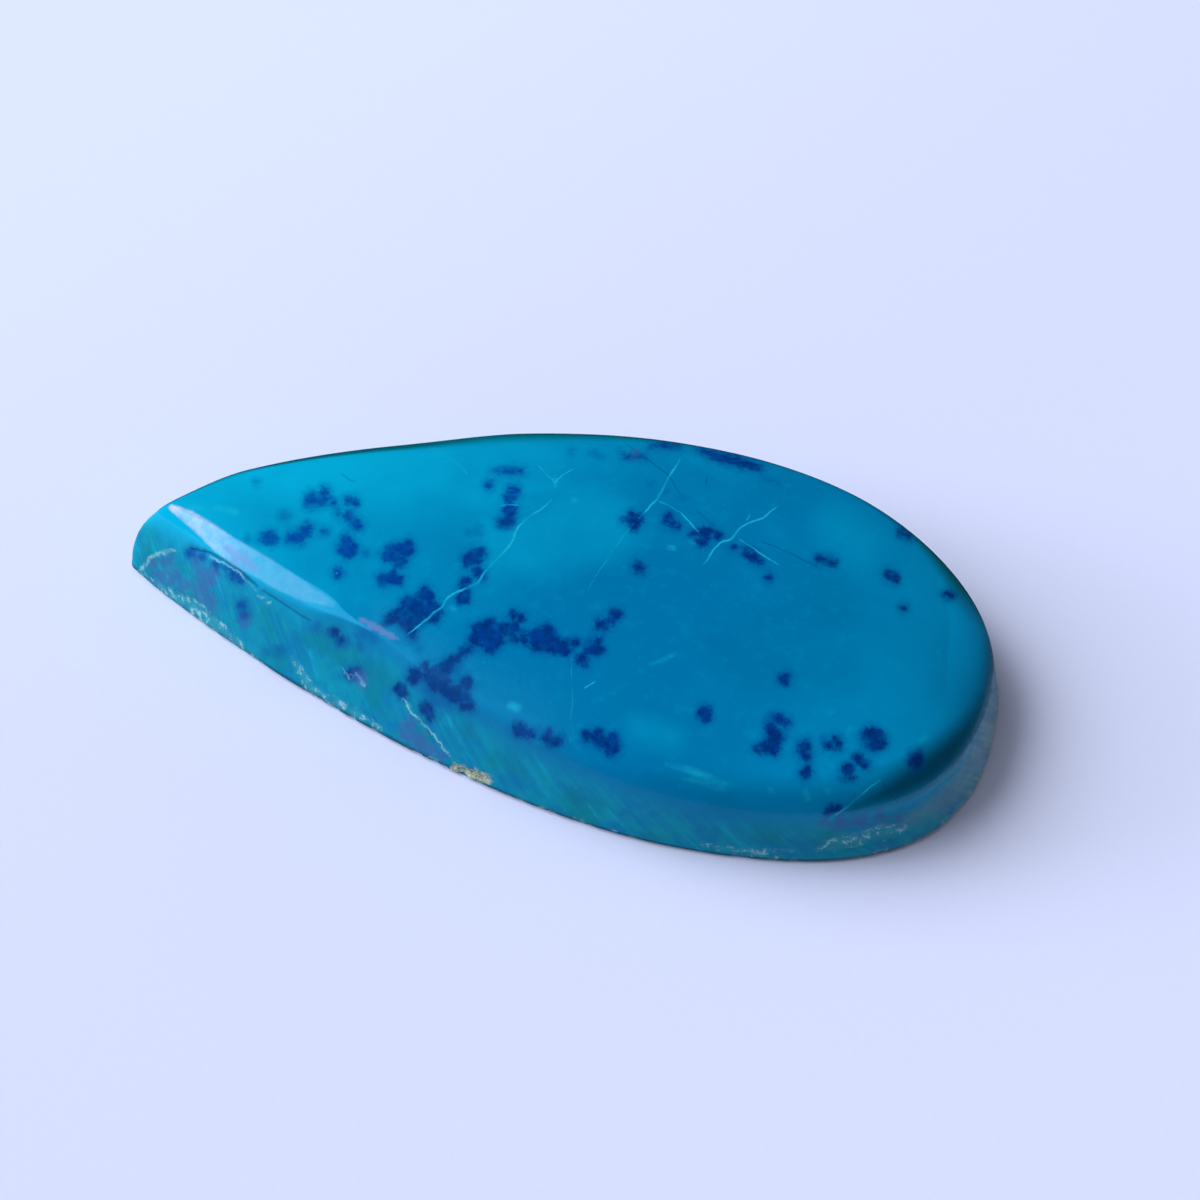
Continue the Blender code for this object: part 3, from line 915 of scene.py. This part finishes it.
def stone_material():
    """Chrysocolla with azurite spots, veins, a ground wall and a matt back."""
    material = bpy.data.materials.new("azurite_in_chrysocolla")
    material.use_nodes = True
    tree = material.node_tree
    nodes = Nodes(tree)
    shader = tree.nodes["Principled BSDF"]
    place = nodes.add("TexCoord").outputs["Object"]
    zone = nodes.number("zone")
    hidden = nodes.number("hidden")
    ground = nodes.ease(zone, *GROUND_ZONES)
    grain = nodes.noise(nodes.vector("grain"), 3.2, 4.0, 0.65)
    lumps = nodes.math("SUBTRACT", nodes.noise(place, 3.2, 3.0, 0.6), 0.5)
    grit = nodes.math("SUBTRACT", nodes.noise(place, 12.0, 2.0, 0.6), 0.5)

    colour, tip_painted_light = dome_mass(nodes, place)
    colour = dark_shoulders(nodes, place, zone, colour)
    colour = ground_wall(nodes, place, zone, ground, grain, colour)
    colour = azurite_spots(nodes, place, hidden, lumps, grit, tip_painted_light, colour)
    colour = veins_and_cracks(nodes, place, hidden, lumps, colour)
    colour = wall_patches(nodes, place, lumps, colour)
    colour = chipped_foot(nodes, lumps, grit, colour)
    nodes.feed(shader.inputs["Base Color"], colour)

    chips = nodes.number("chips")
    nodes.feed(shader.inputs["Roughness"], finish_roughness(nodes, place, zone, grain, chips))
    relief = nodes.math("ADD", nodes.times(grain, 0.6), grit)
    relief = nodes.times(relief, nodes.math("MAXIMUM", ground, chips))
    bump = nodes.add("Bump", inputs={"Strength": 0.35, "Distance": 0.03 * MM, "Height": relief})
    nodes.feed(shader.inputs["Normal"], bump.outputs[0])
    shader.inputs["Specular Tint"].default_value = STONE_SHINE
    shader.inputs["IOR"].default_value = 1.5
    return material


def finish_roughness(nodes, place, zone, grain, chips):
    """Polished dome and bevel, satin wall and front shoulder, matt back and chips."""
    polish = nodes.ease(nodes.noise(place, 9.0, 2.0, 0.6), 0.3, 0.7, *POLISH_ROUGHNESS)
    satin = nodes.times(ground_shoulder(nodes, place), nodes.ease(zone, *SHOULDER_SATIN_ZONES))
    satin = nodes.math("MAXIMUM", nodes.ease(zone, *SATIN_ZONES), satin)
    finish = nodes.blend(satin, polish, nodes.ease(grain, 0.3, 0.7, *SATIN_ROUGHNESS))
    back = nodes.ease(zone, 0.5, 0.2)
    finish = nodes.math("MAXIMUM", finish, nodes.times(back, BACK_ROUGHNESS))
    return nodes.math("MAXIMUM", finish, nodes.times(chips, CHIP_ROUGHNESS))


def ground_shoulder(nodes, place):
    """Share of the front shoulder that is ground but not polished, right of the flat bevel."""
    x, y = nodes.flat_place(place)
    front = nodes.ease(y, 0.0, -2.5 * MM)
    start = nodes.ease(x, SATIN_FROM_X - 0.8 * MM, SATIN_FROM_X + 0.4 * MM)
    end = nodes.ease(x, SATIN_TO_X, SATIN_TO_X - 4.0 * MM)
    return nodes.times(front, nodes.times(start, end))


def dome_mass(nodes, place):
    """Blue-green chrysocolla, cloudy, painted paler towards the tip and the back as the window's reflection
    and at the round end against its shading; also the share of that painted light at the tip.
    """
    x, y = nodes.flat_place(place)
    clouds = nodes.math("SUBTRACT", nodes.noise(place, 0.20, 3.0, 0.5, 0.5), 0.5)
    # Painted light: paler towards the tip and the back, standing in for the window's reflection
    lean = nodes.math("MULTIPLY_ADD", y, TIP_PAINTED_LIGHT_LEAN, x)
    tip_painted_light = nodes.ease(nodes.math("MULTIPLY_ADD", clouds, 14.0 * MM, lean), *TIP_PAINTED_LIGHT_X)
    colour = nodes.mix(tip_painted_light, CHRYSOCOLLA, CHRYSOCOLLA_PALE)
    # Painted light: paler towards the round end, against its shading
    far_painted_light = nodes.ease(nodes.math("MULTIPLY_ADD", clouds, 8.0 * MM, x), *FAR_PAINTED_LIGHT_X)
    colour = nodes.mix(far_painted_light, colour, CHRYSOCOLLA_PAINTED_LIT)
    # The paler patches are partly the stone's clouding and partly painted reflection along the back edge;
    # the deep patches are its clouding
    colour = cover(nodes, colour, "pale", clouds)
    colour = cover(nodes, colour, "deep", clouds)
    mottle = nodes.noise(place, 1.6, 4.0, 0.6)
    colour = nodes.mix(nodes.ease(mottle, 0.50, 0.80, 0.0, 0.15), colour, CHRYSOCOLLA_PALE)
    specks = nodes.noise(place, 7.0, 1.0, 0.5)
    colour = nodes.mix(nodes.ease(specks, 0.72, 0.80, 0.0, 0.35), colour, VEIN_TEAL)
    # Scuffs and flecks, with painted glints and a faint painted highlight streak on the front crest
    return cover(nodes, colour, "scuff_and_glint", mottle), tip_painted_light


def dark_shoulders(nodes, place, zone, colour):
    """Painted shade on the front shoulder and on the round end's shoulder, and a green rim at the back."""
    # Painted shade on the front shoulder and on the round end's shoulder
    colour = cover(nodes, colour, "front_painted_shade")
    colour = cover(nodes, colour, "shade", limit=nodes.ease(zone, *ABOVE_WALL_ZONES))
    y = nodes.flat_place(place)[1]
    rim = nodes.times(nodes.ease(zone, 3.10, 2.55), nodes.ease(y, 1.0 * MM, 4.0 * MM, 0.0, 0.85))
    return nodes.mix(rim, colour, RIM_GREEN)


def ground_wall(nodes, place, zone, ground, grain, colour):
    """Teal, blue and green wall with cyan fibres, painted shadow along the foot, and a painted reflection
    of the pale floor on the round end's wall.
    """
    streaks = nodes.blend(0.55, grain, nodes.noise(place, 0.7, 4.0, 0.6, 0.6))
    wall = nodes.mix(nodes.ease(streaks, 0.38, 0.62), WALL_TEAL, WALL_BLUE)
    green = nodes.ease(nodes.noise(place, 0.55, 2.0, 0.5), 0.50, 0.66, 0.0, 0.55)
    wall = nodes.mix(green, wall, WALL_GREEN)
    fibres = nodes.ease(nodes.noise(nodes.vector("grain"), 1.5, 5.0, 0.72), 0.52, 0.70)
    breaks = nodes.ease(nodes.noise(place, 0.9, 3.0, 0.65), 0.42, 0.60)
    wall = nodes.mix(nodes.times(fibres, nodes.times(breaks, 0.50)), wall, WALL_CYAN)
    colour = nodes.mix(nodes.times(ground, 0.80), colour, wall)
    # Painted contact shadow: a dark band along the foot
    foot = nodes.times(nodes.ease(zone, 1.07, 1.00), nodes.ease(zone, 0.4, 0.6, 0.0, 0.70))
    colour = nodes.mix(foot, colour, FOOT_PAINTED_SHADOW)
    # Painted reflection of the pale floor on the round end's wall
    return cover(nodes, colour, "end_wall_reflection", limit=nodes.ease(zone, *BELOW_SHOULDER_ZONES))


def azurite_spots(nodes, place, hidden, lumps, grit, tip_painted_light, colour):
    """Deep blue spots with soft lumpy edges, read from the photo where it shows the skin."""
    ragged = nodes.math("ADD", nodes.times(lumps, SPOT_LUMPS), nodes.times(grit, SPOT_GRIT))
    spot = nodes.math("ADD", nodes.number("azurite"), ragged)
    core = nodes.ease(spot, *CORE_EDGES)
    halo = nodes.ease(spot, *HALO_EDGES)
    haze = nodes.ease(nodes.math("ADD", nodes.number("haze"), ragged), *HAZE_EDGES)

    clusters = nodes.ease(nodes.noise(place, 0.25, 2.0, 0.5), 0.50, 0.60)
    cells = nodes.add("TexVoronoi", inputs={"Vector": place, "Scale": UNSEEN_SPOTS_PER_MM / MM})
    cell_gap = nodes.math("MULTIPLY_ADD", cells.outputs["Distance"], MM / UNSEEN_SPOTS_PER_MM, ragged)
    unseen = nodes.times(nodes.ease(cell_gap, *UNSEEN_SPOT_EDGES), clusters)
    core = nodes.math("MAXIMUM", core, nodes.times(unseen, hidden))
    # Painted light: towards the tip the spots are painted weaker and brighter, following the dome's painted
    # light
    strength = nodes.math("MULTIPLY_ADD", tip_painted_light, -0.22, 0.95)
    strength = nodes.math("MULTIPLY_ADD", lumps, -0.9, strength, clamp=True)

    colour = nodes.mix(nodes.times(haze, 0.58), colour, AZURITE_HALO)
    colour = nodes.mix(nodes.times(halo, 0.40), colour, AZURITE_HALO)
    uneven = nodes.ease(nodes.noise(place, 2.2, 3.0, 0.6), 0.40, 0.66, 0.0, 0.55)
    bright = nodes.math("MAXIMUM", nodes.ease(tip_painted_light, 0.05, 0.40), uneven)
    azurite = nodes.mix(bright, AZURITE, AZURITE_BRIGHT)
    return nodes.mix(nodes.times(core, strength), colour, azurite)


def veins_and_cracks(nodes, place, hidden, lumps, colour):
    """Pale veins, dark hairlines with a painted shade line along the round end's rim, and the seams and the
    crack of the wall.
    """
    wobble = nodes.times(lumps, LINE_WOBBLE)
    vein = nodes.math("MAXIMUM", line_mask(nodes, "vein", wobble), line_mask(nodes, "branch", wobble))
    ridges = nodes.math("ABSOLUTE", nodes.math("SUBTRACT", nodes.noise(place, 0.13, 4.0, 0.45), 0.5))
    sparse = nodes.ease(nodes.noise(place, 0.11, 2.0, 0.5), 0.50, 0.60)
    unseen = nodes.times(nodes.times(nodes.ease(ridges, 0.005, 0.001), sparse), hidden)
    fading = nodes.ease(nodes.noise(place, 1.2, 2.0, 0.5), 0.35, 0.62, 0.30, 1.0)
    vein = nodes.times(nodes.math("MAXIMUM", vein, unseen), fading)
    colour = nodes.mix(vein, colour, VEIN_TEAL)
    # Dark hairlines, and a painted shade line along the round end's rim
    hairline_and_rim_shade = line_mask(nodes, "hairline_and_rim_shade", wobble, HAIRLINE_EDGE)
    colour = nodes.mix(nodes.times(hairline_and_rim_shade, 0.55), colour, CHRYSOCOLLA_DARK)
    crack = line_mask(nodes, "crack", wobble, BREAK_EDGE)
    colour = nodes.mix(nodes.times(crack, 0.60), colour, CRACK_NAVY)
    seam = line_mask(nodes, "seam", nodes.times(lumps, SEAM_WOBBLE), BREAK_EDGE)
    return nodes.mix(nodes.times(seam, fading), colour, SEAM_PALE)


def wall_patches(nodes, place, lumps, colour):
    """Purple patches in the wall, and on the bevel frost with a painted highlight over it and a painted
    pink tint of that highlight.
    """
    colour = cover(nodes, colour, "purple", lumps)
    # Frost on the bevel with a painted highlight over it, strongest at the tip
    veil = nodes.ease(nodes.noise(place, 1.3, 4.0, 0.65), 0.34, 0.62, 0.45, 1.0)
    along = nodes.ease(nodes.flat_place(place)[0], FROST_HIGHLIGHT_TO_X, FROST_HIGHLIGHT_FROM_X, *FROST_HIGHLIGHT_SHARES)
    colour = cover(nodes, colour, "frost_and_highlight", lumps, nodes.times(along, veil))
    # Painted pink tint of the bevel's highlight
    return cover(nodes, colour, "highlight_blush", lumps)


def chipped_foot(nodes, lumps, grit, colour):
    """Pale chips with cream flecks, and the tan crust."""
    chips = nodes.number("chips")
    colour = nodes.mix(nodes.ease(chips, 0.1, 0.7, 0.0, 0.55), colour, CHIP_TEAL)
    rough = nodes.math("SUBTRACT", nodes.noise(nodes.vector("grain"), 2.4, 5.0, 0.75), 0.5)
    rough = nodes.math("ADD", nodes.times(rough, 0.5), nodes.times(lumps, 1.3))
    flecks = nodes.ease(nodes.math("MULTIPLY_ADD", grit, 0.6, rough), 0.00, 0.22)
    flecks = nodes.times(flecks, nodes.ease(chips, 0.05, 0.5))
    colour = nodes.mix(nodes.times(flecks, 0.72), colour, CHIP_CREAM)
    crust = nodes.mix(nodes.ease(grit, -0.08, 0.08), CRUST_TAN, CRUST_PALE)
    return cover(nodes, colour, "crust", lumps, tone=crust)


def floor_material():
    """Plain pale paper, with painted light making it a little brighter far to the left."""
    material = bpy.data.materials.new("pale_paper")
    material.use_nodes = True
    tree = material.node_tree
    nodes = Nodes(tree)
    shader = tree.nodes["Principled BSDF"]
    place = nodes.add("TexCoord").outputs["Object"]
    fibres = nodes.noise(place, 4.0, 4.0, 0.6)
    x, y = nodes.flat_place(place)
    # Painted light: brighter towards the far left
    far_left = nodes.math("MULTIPLY_ADD", y, -0.6, x)
    tint = nodes.mix(nodes.ease(far_left, *PAPER_PAINTED_LIGHT_X), PAPER, PAPER_PAINTED_LIGHT)
    tint = nodes.mix(nodes.ease(fibres, 0.35, 0.65, 0.0, 0.03), tint, PAPER_FIBRE)
    nodes.feed(shader.inputs["Base Color"], tint)
    nodes.feed(shader.inputs["Roughness"], nodes.ease(fibres, 0.3, 0.7, 0.75, 0.85))
    bump = nodes.add("Bump", inputs={"Strength": 0.15, "Distance": 0.02 * MM, "Height": fibres})
    nodes.feed(shader.inputs["Normal"], bump.outputs[0])
    shader.inputs["Specular IOR Level"].default_value = 0.2
    return material


def make_floor():
    """Pale sheet that the stone lies on, reaching past every view."""
    mesh = bpy.data.meshes.new("floor")
    corners = [(x * FLOOR_REACH, y * FLOOR_REACH, 0) for x, y in ((-1, -1), (1, -1), (1, 1), (-1, 1))]
    mesh.from_pydata(corners, [], [(0, 1, 2, 3)])
    mesh.materials.append(floor_material())
    floor = bpy.data.objects.new("floor", mesh)
    floor.location.z = -FLOOR_GAP
    floor.visible_glossy = False
    bpy.context.scene.collection.objects.link(floor)


def make_camera():
    """Camera at the photo's viewing angle."""
    right, up, back = camera_axes()
    data = bpy.data.cameras.new("photo_camera")
    data.sensor_width = 36.0
    data.lens = data.sensor_width / 2 / math.tan(CAMERA_FIELD / 2)
    data.clip_start = 1 * MM
    data.clip_end = 20.0
    camera = bpy.data.objects.new("photo_camera", data)
    turn = Matrix((right, up, back)).transposed().to_4x4()
    camera.matrix_world = Matrix.Translation(Vector(camera_place())) @ turn
    bpy.context.scene.collection.objects.link(camera)
    bpy.context.scene.camera = camera


def add_sun(name, round_degrees, height_degrees, strength, spread_degrees, glint):
    """Soft light from far away. Round the stone, 0 is the camera's right and 90 is behind.

    A glint is the window as the polish mirrors it; the other lights give the shading.
    """
    turn = math.radians(round_degrees) + CAMERA_AZIMUTH
    height = math.radians(height_degrees)
    flat = math.cos(height)
    direction = Vector((math.cos(turn) * flat, math.sin(turn) * flat, math.sin(height)))
    data = bpy.data.lights.new(name, "SUN")
    data.energy = strength
    data.angle = math.radians(spread_degrees)
    data.color = LIGHT_COLOUR[:3]
    light = bpy.data.objects.new(name, data)
    light.rotation_euler = direction.to_track_quat("Z", "Y").to_euler()
    light.visible_glossy = glint
    light.visible_diffuse = not glint
    bpy.context.scene.collection.objects.link(light)


def make_world():
    """Dim room light, paler towards the window.

    The polish mirrors a dark room, and below the round end the pale sheet.
    """
    world = bpy.data.worlds.new("room")
    world.use_nodes = True
    bpy.context.scene.world = world
    nodes = Nodes(world.node_tree)
    place = nodes.add("TexCoord").outputs["Generated"]
    parts = nodes.add("SeparateXYZ", inputs={0: place})
    x, z = parts.outputs[0], parts.outputs[2]
    mirrored = nodes.add("LightPath").outputs["Is Glossy Ray"]
    sheet = nodes.times(nodes.ease(x, *SHEET_TOWARDS_X), nodes.ease(z, *SHEET_BELOW_Z))
    level = nodes.blend(mirrored, nodes.ease(x, *ROOM_LEVELS), sheet)
    shade = nodes.mix(level, (0.0, 0.0, 0.0, 1.0), LIGHT_COLOUR)
    background = world.node_tree.nodes["Background"]
    nodes.feed(background.inputs["Color"], shade)
    background.inputs["Strength"].default_value = 1.0


make_camera()
make_world()
for light in LIGHTS:
    add_sun(*light)
make_floor()
skin = make_skin()
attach(skin, "root")
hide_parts("stone")

bpy.context.scene.view_settings.view_transform = "Standard"
